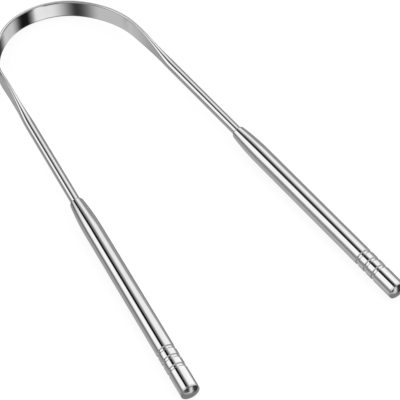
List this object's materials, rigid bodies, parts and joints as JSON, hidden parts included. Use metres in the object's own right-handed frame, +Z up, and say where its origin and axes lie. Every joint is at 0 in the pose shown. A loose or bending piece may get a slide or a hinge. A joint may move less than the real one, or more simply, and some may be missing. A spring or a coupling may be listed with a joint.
{
  "type": "tongue scraper",
  "caption": "Lightweight U-shaped steel tongue scraper: a bent wire rolled flat into a curved blade between splayed round legs, with grooved tube handles closed by domed plugs.",
  "frame": {"origin": "on the resting surface, under the middle of the scraper's outline", "axes": "+Y from the handles towards the blade, +X to the right-hand arm seen from the handles, +Z up from the surface it lies on"},
  "size_m": [0.0656, 0.1396, 0.0075],
  "materials": {
    "wire_steel": "mirror-polished stainless steel",
    "handle_steel": "mirror-polished stainless steel",
    "plug_steel": "polished stainless steel"
  },
  "bodies": {
    "root": {"scraper_bow": "wire_steel", "left_handle": "handle_steel", "right_handle": "handle_steel", "left_end_plug": "plug_steel", "right_end_plug": "plug_steel"}
  },
  "joints": []
}
